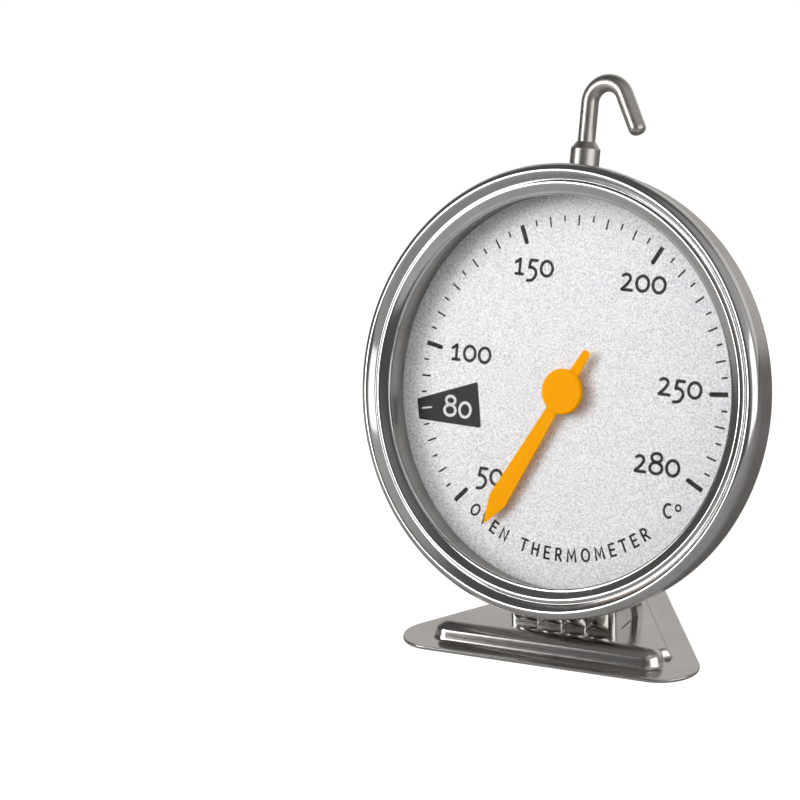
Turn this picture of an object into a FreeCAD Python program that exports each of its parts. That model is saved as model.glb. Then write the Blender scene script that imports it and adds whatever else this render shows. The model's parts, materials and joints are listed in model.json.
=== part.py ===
"""Oven thermometer: a round dial case on a stamped triangular foot, with a swivelling hook on top.

Millimetres. World frame: +Z up, the dial faces -Y, the foot stands on Z = 0. The origin is the middle of
the whole object's footprint box. Parts of the case are drawn in the case's own frame (X to the right,
Y the depth behind the bezel's front, Z up from the pointer's axis) and then leaned back onto the stand.
"""
import FreeCAD, Part
import math
import os

Vector = FreeCAD.Vector

# ---- driving dimensions ----
SHEET = 0.6                 # foot and bracket sheet
CASE_SHEET = 0.5            # case, rings and dial sheet
BEZEL_R = 37.5              # largest radius of the case
CASE_R = 36.9               # outer radius of the case wall
LIP_R = 32.4                # clear opening of the bezel
CASE_DEPTH = 8.4            # bezel front to the flat rim of the back
STEP_R = 28.4               # where the raised middle of the back begins
DOME_EDGE = 11.5            # depth at the edge of the raised middle
DOME_TOP = 13.0             # depth at the vent hole
VENT_R = 4.2
GLASS_FRONT = 2.4
GLASS_T = 1.2
DIAL_FRONT = 7.2            # depth of the printed face
DIAL_T = 0.4
SPACER_R = 33.2             # inner radius of the ring between glass and dial

SHAFT_R = 0.5
RUNNING_FIT = 0.03          # radial clearance of the shaft in its bushes
HAND_FRONT = 5.3
HAND_T = 0.25
HUB_R = 3.8
HAND_LENGTH = 27.1
HAND_TAIL = 8.2
HAND_ANGLE = 208.6          # clockwise from the top, at rest

COIL_FRONT = 8.35
COIL_WIDTH = 2.2
COIL_TURNS = 5
COIL_PITCH = 1.15
COIL_STRIP = 0.35
BRIDGE_BACK = 11.3          # rear face of the bridge behind the coil
BRIDGE_HALF = 15.0
BRIDGE_WIDTH = 8.0

HOOK_DEPTH = 5.4            # depth of the hook's axis behind the bezel front
WIRE_R = 1.45
BEND_R = 3.35
LEG_TOP = 47.7              # height of the bend's centre above the pointer's axis
HOOK_SPLAY = 28.5           # degrees that the free leg leans outwards
HOOK_FREE_LEG = 5.9
COLLAR_R = 2.43
COLLAR_TOP = 41.3
COLLAR_CHAMFER = 1.2
COLLAR_FIT = 0.05

LEAN = 13.5                 # degrees that the case leans back
TURN = 7.5                  # degrees that the case is turned on its bracket
CASE_LIFT = 9.3             # height of the bezel's lowest point

CORNER_R = 6.5              # foot corner radius
CORNER_HALF = 20.2          # half the distance between the front corner centres
FOOT_FRONT = 2.2            # foot's front edge behind the bezel's lowest point
FLANGE = 4.0                # flat rim of the foot
PANEL_TOP = 2.2
BEAD_TOP = 4.1
BEAD_WIDTH = 5.8

BRACKET_HALF = 9.75         # half width between the outer faces of the bracket's cheeks
BRACKET_FRONT = 11.4        # bracket front behind the foot's front edge
BRACKET_DEPTH = 12.8
BRACKET_LEAN = 1.5          # degrees that the fluted front leans back
BRACKET_SLANT = 17.5        # degrees that the rear edge leans forward
BRACKET_TOP = 30.0          # height that its sheet is drawn to, before the case trims it
GUSSET_LAP = 2.4
FLUTES = 4
FLUTE_RISE = 1.1
FLUTE_TOP = 21.0
TAB_RADIUS = 2.1


# ---- helpers ----
def outline(start, *steps):
    """Closed wire in the XY plane. A step is an end point, or (middle, end) for an arc."""
    edges, here = [], Vector(*start, 0)
    for step in steps + (start,):
        if isinstance(step[0], tuple):
            middle, end = Vector(*step[0], 0), Vector(*step[1], 0)
            edges.append(Part.Arc(here, middle, end).toShape())
        else:
            end = Vector(*step, 0)
            if end.distanceToPoint(here) < 1e-6:
                continue
            edges.append(Part.LineSegment(here, end).toShape())
        here = end
    return Part.Wire(edges)


def turned(start, *steps):
    """Solid of revolution about the Y axis, from a section given as (radius, depth)."""
    face = Part.Face(outline(start, *steps))
    return face.revolve(Vector(0, 0, 0), Vector(0, 1, 0), 360)


def tube(inner, outer, front, back):
    return turned((inner, front), (outer, front), (outer, back), (inner, back))


def disc(radius, front, back):
    return Part.makeCylinder(radius, back - front, Vector(0, front, 0), Vector(0, 1, 0))


def box(x0, x1, y0, y1, z0, z1):
    return Part.makeBox(x1 - x0, y1 - y0, z1 - z0, Vector(x0, y0, z0))


def case_placement():
    """Case frame to world: stand it on its lowest point, lean it back, turn it, lift it."""
    stand = FreeCAD.Placement(Vector(0, 0, BEZEL_R), FreeCAD.Rotation())
    lean = FreeCAD.Placement(Vector(), FreeCAD.Rotation(Vector(1, 0, 0), -LEAN))
    turn = FreeCAD.Placement(Vector(), FreeCAD.Rotation(Vector(0, 0, 1), -TURN))
    lift = FreeCAD.Placement(Vector(0, 0, CASE_LIFT), FreeCAD.Rotation())
    return lift.multiply(turn).multiply(lean).multiply(stand)


def placed(shape):
    moved = shape.copy()
    moved.Placement = case_placement().multiply(moved.Placement)
    return moved


# ---- case ----
def case_back_steps(inset):
    """Section of the back from the vent to the wall, inset towards the inside by the sheet."""
    wall = CASE_R - inset
    flat = CASE_DEPTH - inset
    corner = 1.5 - inset
    knee = math.sqrt(0.5)
    foot_r, edge_r = STEP_R - inset, STEP_R - 2.0 - inset
    return [
        ((0.5 * (VENT_R + edge_r), DOME_TOP - 0.35 - inset), (edge_r, DOME_EDGE - inset)),
        ((edge_r + 0.9, DOME_EDGE - 0.5 - inset), (edge_r + 1.3, DOME_EDGE - 1.2 - inset)),
        (foot_r - 0.1, flat + 0.5),
        ((foot_r + 0.1, flat + 0.15), (foot_r + 0.5, flat)),
        (wall - corner, flat),
        ((wall - corner + corner * knee, flat - corner + corner * knee), (wall, flat - corner)),
    ]


def case_shell():
    front = 1.7
    outer_steps = case_back_steps(0)
    outer = turned((0, front), (0, DOME_TOP), (VENT_R, DOME_TOP), *outer_steps, (CASE_R, front))
    inner_steps = case_back_steps(CASE_SHEET)
    room = CASE_R - CASE_SHEET
    inner = turned((0, front - 1), (0, DOME_TOP - CASE_SHEET), (VENT_R, DOME_TOP - CASE_SHEET),
                   *inner_steps, (room, front - 1))
    return outer.cut(inner).cut(disc(VENT_R, DOME_EDGE - 2, DOME_TOP + 1))


def case_volume():
    """The case's outer shape as one solid, for trimming what is welded to it."""
    body = turned((0, 0), (0, DOME_TOP), (VENT_R, DOME_TOP), *case_back_steps(0), (CASE_R, 0))
    return body.fuse(disc(BEZEL_R, 0, 2.6))


def bezel_ring():
    """Rolled ring: a thin lip, an inner bead, a groove, the outer bead, and a skirt over the wall."""
    skirt_end = 2.6
    return turned(
        (LIP_R, 1.75),
        (33.0, 1.5),
        ((33.9, 0.62), (34.75, 0.95)),
        ((34.98, 1.1), (35.2, 0.95)),
        ((36.35, 0.0), (37.35, 0.85)),
        ((37.46, 1.05), (BEZEL_R, 1.3)),
        (BEZEL_R, skirt_end - 0.3),
        ((BEZEL_R - 0.09, skirt_end - 0.09), (BEZEL_R - 0.3, skirt_end)),
        (CASE_R, skirt_end),
        (CASE_R, 1.65),
        (36.0, 1.65),
        (33.6, 2.05),
        (LIP_R, 2.1),
    )


def lens_gasket():
    return turned((33.4, 2.1), (36.2, 1.75), (36.2, GLASS_FRONT), (33.4, GLASS_FRONT))


def lens_glass():
    edge = 0.15
    back = GLASS_FRONT + GLASS_T
    return turned((0, GLASS_FRONT), (36.1 - edge, GLASS_FRONT), (36.1, GLASS_FRONT + edge),
                  (36.1, back - edge), (36.1 - edge, back), (0, back))


def spacer_ring():
    """L-section ring that holds the glass off the dial."""
    front, back = GLASS_FRONT + GLASS_T, DIAL_FRONT
    wall = SPACER_R + CASE_SHEET
    return turned((SPACER_R, front), (wall, front), (wall, back - CASE_SHEET),
                  (36.2, back - CASE_SHEET), (36.2, back), (SPACER_R, back))


def backing_ring():
    """Flat ring that packs the dial off the flat rim of the case back."""
    return tube(33.6, 35.2, DIAL_FRONT + DIAL_T, CASE_DEPTH - CASE_SHEET)


def dial_plate():
    return tube(1.9, 36.1, DIAL_FRONT, DIAL_FRONT + DIAL_T)


# ---- movement ----
def front_bush():
    back = DIAL_FRONT + DIAL_T
    bore = SHAFT_R + RUNNING_FIT
    return turned((bore, DIAL_FRONT), (1.9, DIAL_FRONT), (1.9, back), (2.6, back),
                  (2.6, back + 0.5), (bore, back + 0.5))


def coil_bridge():
    """Strap behind the coil, with a leg and a foot at each end against the back of the dial."""
    half, foot = BRIDGE_HALF, 3.5
    face = DIAL_FRONT + DIAL_T
    z0, z1 = -BRIDGE_WIDTH / 2, BRIDGE_WIDTH / 2
    strap = box(-half, half, BRIDGE_BACK - SHEET, BRIDGE_BACK, z0, z1)
    for side in (-1, 1):
        leg = box(half - SHEET, half, face, BRIDGE_BACK, z0, z1)
        pad = box(half - SHEET, half + foot, face, face + SHEET, z0, z1)
        both = leg.fuse(pad)
        strap = strap.fuse(both if side > 0 else both.mirror(Vector(), Vector(1, 0, 0)))
    lug = box(8.6, 9.4, COIL_FRONT + 0.1, BRIDGE_BACK - SHEET, -1.6, 1.6)
    strap = strap.fuse(lug)
    pin_hole = Part.makeCylinder(0.4, 1.4, Vector(8.3, COIL_FRONT + COIL_WIDTH / 2, 0), Vector(1, 0, 0))
    return strap.cut(disc(2.0, BRIDGE_BACK - 2, BRIDGE_BACK + 1)).cut(pin_hole).removeSplitter()


def rear_bush():
    bore = SHAFT_R + RUNNING_FIT
    front = BRIDGE_BACK - SHEET
    return turned((bore, front), (2.0, front), (2.0, BRIDGE_BACK), (3.1, BRIDGE_BACK),
                  (3.1, BRIDGE_BACK + 0.4), (2.8, BRIDGE_BACK + 0.6), (bore, BRIDGE_BACK + 0.6))


def pointer_shaft():
    """Arbor from the hand to just behind the rear bush, with a shallow domed end."""
    front, back = HAND_FRONT, BRIDGE_BACK + 0.9
    return turned((0, front), (SHAFT_R, front), (SHAFT_R, back), (0.3, back + 0.15), (0, back + 0.15))


def coil_inner_r():
    return 2.4


def bimetal_coil():
    """Flat spiral strip: its inner end sits on the collet, its outer end under the anchor clip."""
    turns, steps = COIL_TURNS, 24 * COIL_TURNS
    inner, outer = [], []
    for i in range(steps + 1):
        angle = 2 * math.pi * turns * i / steps
        radius = coil_inner_r() + COIL_PITCH * turns * i / steps
        for points, r in ((inner, radius), (outer, radius + COIL_STRIP)):
            points.append(Vector(r * math.cos(angle), COIL_FRONT, r * math.sin(angle)))
    curves = []
    for points in (inner, outer):
        curve = Part.BSplineCurve()
        curve.interpolate(points)
        curves.append(curve.toShape())
    ends = [Part.LineSegment(outer[-1], inner[-1]).toShape(), Part.LineSegment(inner[0], outer[0]).toShape()]
    wire = Part.Wire(Part.__sortEdges__(curves + ends))
    return Part.Face(wire).extrude(Vector(0, COIL_WIDTH, 0))


def coil_collet():
    """Brass collar pressed on the shaft, just inside the coil's first turn."""
    middle = COIL_FRONT + COIL_WIDTH / 2
    return tube(SHAFT_R, coil_inner_r() - 0.3, middle - 0.9, middle + 0.9)


def coil_anchor():
    """Clip plate that holds the coil's outer end against the bridge lug."""
    return box(8.52, 8.6, COIL_FRONT + 0.1, COIL_FRONT + COIL_WIDTH - 0.1, -1.6, 1.6).cut(
        Part.makeCylinder(0.4, 1.0, Vector(8.2, COIL_FRONT + COIL_WIDTH / 2, 0), Vector(1, 0, 0)))


def anchor_rivet():
    middle = COIL_FRONT + COIL_WIDTH / 2
    pin = Part.makeCylinder(0.4, 0.88, Vector(8.52, middle, 0), Vector(1, 0, 0))
    head = Part.makeCylinder(0.8, 0.35, Vector(9.4, middle, 0), Vector(1, 0, 0))
    return pin.fuse(head)


# ---- pointer ----
def pointer_hand():
    """Spear-shaped hand: narrow at the hub, shoulders near the tip, and a short blunt tail."""
    tip, shoulder = HAND_LENGTH, HAND_LENGTH - 4.6
    tail = HAND_TAIL
    flat = outline(
        (0.12, tip), (1.85, shoulder), (1.0, 2.0), (1.05, -2.0), (0.72, -tail + 1.0),
        ((0, -tail), (-0.72, -tail + 1.0)),
        (-1.05, -2.0), (-1.0, 2.0), (-1.85, shoulder), (-0.12, tip), ((0, tip + 0.06), (0.12, tip)))
    blade = Part.Face(flat).extrude(Vector(0, 0, HAND_T))
    blade.rotate(Vector(), Vector(1, 0, 0), 90)
    blade.translate(Vector(0, HAND_FRONT + HAND_T, 0))
    blade.rotate(Vector(), Vector(0, 1, 0), HAND_ANGLE)
    blade = blade.fuse(disc(2.6, HAND_FRONT, HAND_FRONT + HAND_T))
    return blade.cut(disc(SHAFT_R, HAND_FRONT - 1, HAND_FRONT + 1)).removeSplitter()


def pointer_cap():
    """Round cover over the hub, with a bevelled rim."""
    front = HAND_FRONT - 0.65
    return turned((0, front), (HUB_R - 0.35, front), (HUB_R, front + 0.25), (HUB_R, HAND_FRONT),
                  (0, HAND_FRONT))


def pointer_bush():
    front = HAND_FRONT + HAND_T
    return tube(SHAFT_R, 1.2, front, DIAL_FRONT - 0.25)


# ---- hook ----
def upright(radius, z0, z1):
    return Part.makeCylinder(radius, z1 - z0, Vector(0, HOOK_DEPTH, z0), Vector(0, 0, 1))


def hook_collar():
    """Ferrule welded on the case wall: a close bore above and a wider pocket below for the stop."""
    straight = COLLAR_TOP - COLLAR_CHAMFER
    neck = WIRE_R + 0.15
    body = upright(COLLAR_R, CASE_R - 0.6, straight)
    taper = Part.makeCone(COLLAR_R, neck, COLLAR_CHAMFER, Vector(0, HOOK_DEPTH, straight), Vector(0, 0, 1))
    body = body.fuse(taper)
    bore = upright(WIRE_R + COLLAR_FIT, CASE_R - 1, COLLAR_TOP + 1)
    pocket = upright(2.02, CASE_R - 1, CASE_R + 2.2)
    return body.cut(bore).cut(pocket).cut(disc(CASE_R, 0, 12)).removeSplitter()


def hook_stop():
    """Ring upset on the wire's end, loose in the collar's pocket."""
    ring = upright(1.95, CASE_R + 0.9, CASE_R + 2.1)
    return ring.cut(upright(WIRE_R, CASE_R, CASE_R + 3))


def hook_wire():
    """Swan neck: a straight leg, one round bend, and a splayed free leg with a round end."""
    leg = upright(WIRE_R, CASE_R + 0.9, LEG_TOP)
    sweep = 180 - HOOK_SPLAY
    section = Part.Face(Part.Wire(Part.makeCircle(WIRE_R, Vector(0, HOOK_DEPTH, LEG_TOP), Vector(0, 0, 1))))
    bend_centre = Vector(BEND_R, HOOK_DEPTH, LEG_TOP)
    bend = section.revolve(bend_centre, Vector(0, 1, 0), sweep)
    splay = math.radians(HOOK_SPLAY)
    start = bend_centre + Vector(math.cos(splay), 0, math.sin(splay)) * BEND_R
    along = Vector(math.sin(splay), 0, -math.cos(splay))
    free_leg = Part.makeCylinder(WIRE_R, HOOK_FREE_LEG, start, along)
    round_end = Part.makeSphere(WIRE_R, start + along * HOOK_FREE_LEG)
    return leg.fuse([bend, free_leg, round_end]).removeSplitter()


# ---- foot ----
def rounded_triangle(margin, z):
    """Equilateral outline with round corners, shrunk evenly by the margin."""
    radius = max(CORNER_R - margin, 0.6)
    reach = CORNER_HALF - max(margin - (CORNER_R - radius), 0) * math.sqrt(3)
    middle_y = FOOT_FRONT + CORNER_R + CORNER_HALF / math.sqrt(3)
    edges, corners = [], []
    for k in range(3):
        angle = math.radians(-150 + 120 * k)
        centre = Vector(0, middle_y, z) + Vector(math.cos(angle), math.sin(angle), 0) * (
            reach * 2 / math.sqrt(3))
        arc = [centre + Vector(math.cos(angle + math.radians(s)), math.sin(angle + math.radians(s)), 0) * radius
               for s in (-60, 0, 60)]
        corners.append(arc)
    for k in range(3):
        edges.append(Part.Arc(*corners[k]).toShape())
        edges.append(Part.LineSegment(corners[k][2], corners[(k + 1) % 3][0]).toShape())
    return Part.Wire(edges)


def raised(margin, low, high, slope):
    """Frustum between two shrunken triangles: the raised middle of the foot."""
    lower, upper = rounded_triangle(margin, low), rounded_triangle(margin + slope, high)
    return Part.makeLoft([lower, upper], True, True)


def bead_bar(drop, inset):
    """Half-round ridge along the front of the raised middle, as a bar across the whole foot."""
    front = FOOT_FRONT + FLANGE + inset
    back = front + BEAD_WIDTH - 2 * inset
    crown = BEAD_TOP - drop
    section = outline((front, -1), (front, 1.2 - drop), ((front + 0.45, crown - 0.75), (front + 1.7, crown - 0.1)),
                      ((front + 2.4, crown), (front + 3.1, crown - 0.1)),
                      ((back - 0.9, crown - 0.9), (back, PANEL_TOP - drop)), (back, -1))
    section.rotate(Vector(), Vector(1, 0, 0), 90)
    section.rotate(Vector(), Vector(0, 0, 1), 90)
    section.translate(Vector(-30, 0, 0))
    return Part.Face(section).extrude(Vector(60, 0, 0))


def foot_form(drop, inset):
    """Everything that stands up from the flat rim, as one solid."""
    panel = raised(FLANGE + inset, 0, PANEL_TOP - drop, 0.9)
    tall = raised(FLANGE + inset, 0, BEAD_TOP, 0.9 * BEAD_TOP / PANEL_TOP)
    return panel.fuse(bead_bar(drop, inset).common(tall))


def slot_y():
    return FOOT_FRONT + BRACKET_FRONT + BRACKET_DEPTH / 2


def base_plate():
    rim = Part.Face(rounded_triangle(0, 0)).extrude(Vector(0, 0, SHEET))
    plate = rim.fuse(foot_form(0, 0)).cut(foot_form(SHEET, 0.45))
    for side in (-1, 1):
        x = side * (BRACKET_HALF - SHEET / 2)
        plate = plate.cut(box(x - 0.35, x + 0.35, slot_y() - TAB_RADIUS, slot_y() + TAB_RADIUS, 0.7, 5))
    return plate.removeSplitter()


# ---- bracket ----
def rise_to(z, degrees):
    """How far a sheet that leaves the panel at this angle from upright has moved back at height z."""
    return (z - PANEL_TOP) * math.tan(math.radians(degrees))


def side_prism(front, front_angle, back, back_angle, top, x0, x1):
    """Prism across X between two slanting lines that start on the panel."""
    points = [(front, PANEL_TOP), (front + rise_to(top, front_angle), top),
              (back + rise_to(top, back_angle), top), (back, PANEL_TOP)]
    wire = Part.makePolygon([Vector(x0, y, z) for y, z in points + points[:1]])
    return Part.Face(wire).extrude(Vector(x1 - x0, 0, 0))


def flute_bars(front):
    """Convex ribs down the bracket's front, leaning back with it."""
    pitch = 2 * BRACKET_HALF / FLUTES
    rise = FLUTE_TOP - PANEL_TOP
    along = Vector(0, rise_to(PANEL_TOP + rise, BRACKET_LEAN), rise)
    bars = []
    for k in range(FLUTES):
        left = -BRACKET_HALF + pitch * k + 0.12
        right = left + pitch - 0.24
        section = outline((left, front + 0.3), (left, front),
                          ((0.5 * (left + right), front - FLUTE_RISE), (right, front)), (right, front + 0.3))
        section.translate(Vector(0, 0, PANEL_TOP))
        bars.append(Part.Face(section).extrude(along))
    return bars


def folded_tab(side):
    """Lower end of a cheek: down through the slot and folded outwards under the panel."""
    under = PANEL_TOP - SHEET
    x0 = BRACKET_HALF - SHEET
    neck = box(x0, BRACKET_HALF, slot_y() - TAB_RADIUS + 0.1, slot_y() + TAB_RADIUS - 0.1, under - SHEET, PANEL_TOP)
    leaf = Part.makeCylinder(TAB_RADIUS - 0.1, SHEET, Vector(BRACKET_HALF, slot_y(), under - SHEET))
    leaf = leaf.common(box(BRACKET_HALF, BRACKET_HALF + 3, slot_y() - 3, slot_y() + 3, 0, under))
    tab = neck.fuse(leaf)
    return tab if side > 0 else tab.mirror(Vector(), Vector(1, 0, 0))


def stand_bracket(case):
    """Channel bent from one sheet: a fluted front and two cheeks, trimmed to the case's back."""
    front = FOOT_FRONT + BRACKET_FRONT + FLUTE_RISE
    back = FOOT_FRONT + BRACKET_FRONT + BRACKET_DEPTH
    room = BRACKET_HALF - SHEET
    outer = side_prism(front, BRACKET_LEAN, back, -BRACKET_SLANT, BRACKET_TOP, -BRACKET_HALF, BRACKET_HALF)
    inner = side_prism(front + SHEET, BRACKET_LEAN, back + 30, 0, BRACKET_TOP + 1, -room, room)
    sheet = outer.cut(inner)
    for bar in flute_bars(front):
        sheet = sheet.fuse(bar)
    for side in (-1, 1):
        sheet = sheet.fuse(folded_tab(side))
    return largest(sheet.cut(case).removeSplitter())


def bracket_gusset(case):
    """Rear plate with two narrow side flanges, lapped over the cheeks' slanting rear edges."""
    back = FOOT_FRONT + BRACKET_FRONT + BRACKET_DEPTH
    top = BRACKET_TOP + 2.0
    wide = BRACKET_HALF + SHEET
    outer = side_prism(back - GUSSET_LAP, -BRACKET_SLANT, back + SHEET, -BRACKET_SLANT, top, -wide, wide)
    inner = side_prism(back - 10, -BRACKET_SLANT, back, -BRACKET_SLANT, top + 1, -BRACKET_HALF, BRACKET_HALF)
    return largest(outer.cut(inner).cut(case).removeSplitter())


def largest(shape):
    """The biggest solid of a trimmed shape: what a cut leaves beyond the case is scrap."""
    return max(shape.Solids, key=lambda solid: solid.Volume)


# ---- assembly ----
def case_parts():
    return {
        "case_shell": case_shell(), "bezel_ring": bezel_ring(), "lens_gasket": lens_gasket(),
        "lens_glass": lens_glass(), "spacer_ring": spacer_ring(), "backing_ring": backing_ring(),
        "dial_plate": dial_plate(), "front_bush": front_bush(), "coil_bridge": coil_bridge(),
        "rear_bush": rear_bush(), "pointer_shaft": pointer_shaft(), "bimetal_coil": bimetal_coil(),
        "coil_collet": coil_collet(), "coil_anchor": coil_anchor(), "anchor_rivet": anchor_rivet(),
        "pointer_hand": pointer_hand(), "pointer_cap": pointer_cap(), "pointer_bush": pointer_bush(),
        "hook_collar": hook_collar(), "hook_stop": hook_stop(), "hook_wire": hook_wire(),
    }


def main():
    parts = {name: placed(shape) for name, shape in case_parts().items()}
    case = placed(case_volume())
    parts["base_plate"] = base_plate()
    parts["stand_bracket"] = stand_bracket(case)
    parts["bracket_gusset"] = bracket_gusset(case)

    whole = Part.makeCompound(list(parts.values())).optimalBoundingBox(True, False)
    shift = Vector(-whole.Center.x, -whole.Center.y, 0)
    os.makedirs("parts", exist_ok=True)
    for name, shape in parts.items():
        moved = shape.copy()
        moved.translate(shift)
        moved.exportStep("parts/%s.step" % name)
        print(name, "valid" if moved.isValid() else "INVALID", len(moved.Solids), round(moved.Volume, 2))

    frame = FreeCAD.Placement(shift, FreeCAD.Rotation()).multiply(case_placement())
    print("pointer axis through", frame.multVec(Vector(0, 0, 0)), "along", frame.Rotation.multVec(Vector(0, 1, 0)))
    print("hook axis through", frame.multVec(Vector(0, HOOK_DEPTH, COLLAR_TOP)),
          "along", frame.Rotation.multVec(Vector(0, 0, 1)))
    print("box", whole.XLength, whole.YLength, whole.ZLength, "lowest", whole.ZMin, "shift", shift)


main()
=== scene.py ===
"""Looks of the oven thermometer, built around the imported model.

Lengths are in millimetres until a mesh is made, and Blender's metres after that. Case pieces are drawn in the
case's own frame: X to the right, Y the depth behind the pointer axis's zero point, Z up towards the hook.
"""
import json
import math
from contextlib import contextmanager
from functools import partial

import bmesh
import bpy
import numpy as np
from mathutils import Matrix, Vector


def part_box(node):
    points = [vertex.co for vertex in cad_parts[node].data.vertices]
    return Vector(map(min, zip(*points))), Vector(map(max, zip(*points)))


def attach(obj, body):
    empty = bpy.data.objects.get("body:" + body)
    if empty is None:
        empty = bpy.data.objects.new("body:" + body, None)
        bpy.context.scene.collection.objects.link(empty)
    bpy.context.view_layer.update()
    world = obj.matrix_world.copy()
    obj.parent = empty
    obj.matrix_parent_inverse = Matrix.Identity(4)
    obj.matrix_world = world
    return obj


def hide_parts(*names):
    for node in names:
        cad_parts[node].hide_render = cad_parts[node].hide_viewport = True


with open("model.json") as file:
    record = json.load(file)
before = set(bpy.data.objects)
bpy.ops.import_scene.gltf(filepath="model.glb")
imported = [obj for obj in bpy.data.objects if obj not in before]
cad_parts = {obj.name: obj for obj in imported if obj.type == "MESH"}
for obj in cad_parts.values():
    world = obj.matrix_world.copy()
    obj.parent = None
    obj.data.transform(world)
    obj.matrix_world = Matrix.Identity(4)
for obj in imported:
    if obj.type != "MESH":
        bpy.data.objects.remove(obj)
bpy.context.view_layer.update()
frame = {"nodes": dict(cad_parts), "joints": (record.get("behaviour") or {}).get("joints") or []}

MM = 0.001
FIXED, POINTER, HOOK = "case_and_stand", "pointer", "hook"
JOINTS = {joint["name"]: joint for joint in frame["joints"]}

# ---- the case's frame, from the two joints ----
BACK = Vector(JOINTS["pointer_spin"]["axis"]).normalized()
UP = Vector(JOINTS["hook_swivel"]["axis"]).normalized()
RIGHT = BACK.cross(UP)
CENTRE = Vector(JOINTS["pointer_spin"]["pos_m"])
CASE = Matrix.Translation(CENTRE) @ Matrix((RIGHT, BACK, UP)).transposed().to_4x4()


def case_extent(node):
    """Lowest and highest corner of a CAD node in the case's frame, in millimetres."""
    inverse = CASE.inverted()
    points = np.array([inverse @ v.co for v in frame["nodes"][node].data.vertices]) / MM
    return points.min(0), points.max(0)


def world_extent(node):
    low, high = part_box(node)
    return np.array(low) / MM, np.array(high) / MM


# ---- sizes read from the frame ----
BEZEL_HIGH = case_extent("bezel_ring")[1]
CASE_LOW, CASE_HIGH = case_extent("case_shell")
HAND_LOW, HAND_HIGH = case_extent("pointer_hand")
CAP_LOW, CAP_HIGH = case_extent("pointer_cap")
COLLAR_LOW, COLLAR_HIGH = case_extent("hook_collar")
FOOT_LOW, FOOT_HIGH = world_extent("base_plate")

INSIDE = 0.01               # how far the widest and tallest round pieces stay within the solids
BEZEL_R = BEZEL_HIGH[0] - INSIDE
CASE_R = CASE_HIGH[0]
GLASS_BACK = case_extent("lens_glass")[1][1]
DIAL_FRONT = case_extent("dial_plate")[0][1]
HAND_FRONT, HAND_BACK = HAND_LOW[1], HAND_HIGH[1]
HUB_R, HUB_FRONT = CAP_HIGH[0], CAP_LOW[1]
HOOK_DEPTH = 0.5 * (COLLAR_LOW[1] + COLLAR_HIGH[1])
COLLAR_R, COLLAR_TOP = COLLAR_HIGH[0], COLLAR_HIGH[2]

# ---- sizes that the frame doesn't give on its own ----
CASE_SHEET, SHEET = 0.5, 0.6
CASE_DEPTH, STEP_R, DOME_EDGE, DOME_TOP, VENT_R = 8.4, 28.4, 11.5, 13.0, 4.2
LIP_R, SPACER_R = 32.4, 33.2
WIRE_R, BEND_R, LEG_TOP, HOOK_SPLAY, HOOK_FREE_LEG = 1.45, 3.35, 47.7, 28.5, 5.9
HAND_ANGLE, HAND_LENGTH, HAND_TAIL = 208.6, 27.1, 8.2
FLANGE, PANEL_TOP = 4.0, 2.2
BRACKET_HALF, BRACKET_FRONT, BRACKET_DEPTH, BRACKET_LEAN, BRACKET_SLANT = 9.75, 11.4, 12.8, 1.5, 17.5
FLUTES, FLUTE_RISE, FLUTE_FOOT, FLUTE_ROUND, GUSSET_LAP, TAB_R = 4, 1.1, 2.85, 1.4, 2.4, 2.0

SCALE_R = 29.3              # outer end of the scale's marks
SCALE_LAW = (-24.0, 1.1035, -0.00018)  # hand's angle clockwise from the top, by degrees above 150
PRINT_T = 0.03


# ---- mesh helpers ----
@contextmanager
def editing(mesh):
    shape = bmesh.new()
    shape.from_mesh(mesh)
    yield shape
    shape.to_mesh(mesh)
    shape.free()


def mesh_object(name, verts, faces, place=None, smooth=True, body=FIXED):
    """New piece from millimetre vertices, which rides on a body."""
    place = place or Matrix.Identity(4)
    mesh = bpy.data.meshes.new(name)
    mesh.from_pydata([place @ (Vector(v) * MM) for v in verts], [], faces)
    mesh.update()
    with editing(mesh) as shape:
        bmesh.ops.recalc_face_normals(shape, faces=shape.faces)
    mesh.polygons.foreach_set("use_smooth", [smooth] * len(mesh.polygons))
    piece = bpy.data.objects.new(name, mesh)
    bpy.context.scene.collection.objects.link(piece)
    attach(piece, body)
    return piece


def keep_edges(piece, degrees):
    """Edges sharper than this stay sharp in an otherwise smooth piece."""
    limit = math.radians(degrees)
    with editing(piece.data) as shape:
        for edge in shape.edges:
            edge.smooth = len(edge.link_faces) == 2 and edge.calc_face_angle(0) < limit


def finish_piece(piece, material, slot, *nodes):
    piece.data.materials.clear()
    piece.data.materials.append(material)
    if nodes:
        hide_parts(*nodes)
    return piece


def arc_through(start, middle, end, count):
    """Points on the circle through three points, from start to end."""
    (ax, ay), (bx, by), (cx, cy) = start, middle, end
    d = 2 * (ax * (by - cy) + bx * (cy - ay) + cx * (ay - by))
    ux = ((ax**2 + ay**2) * (by - cy) + (bx**2 + by**2) * (cy - ay) + (cx**2 + cy**2) * (ay - by)) / d
    uy = ((ax**2 + ay**2) * (cx - bx) + (bx**2 + by**2) * (ax - cx) + (cx**2 + cy**2) * (bx - ax)) / d
    radius = math.hypot(ax - ux, ay - uy)
    a0 = math.atan2(ay - uy, ax - ux)
    a1 = math.atan2(cy - uy, cx - ux)
    am = math.atan2(by - uy, bx - ux)
    turn = (a1 - a0) % (2 * math.pi)
    if (am - a0) % (2 * math.pi) > turn:
        turn -= 2 * math.pi
    return [(ux + radius * math.cos(a0 + turn * k / count), uy + radius * math.sin(a0 + turn * k / count))
            for k in range(count + 1)]


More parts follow.
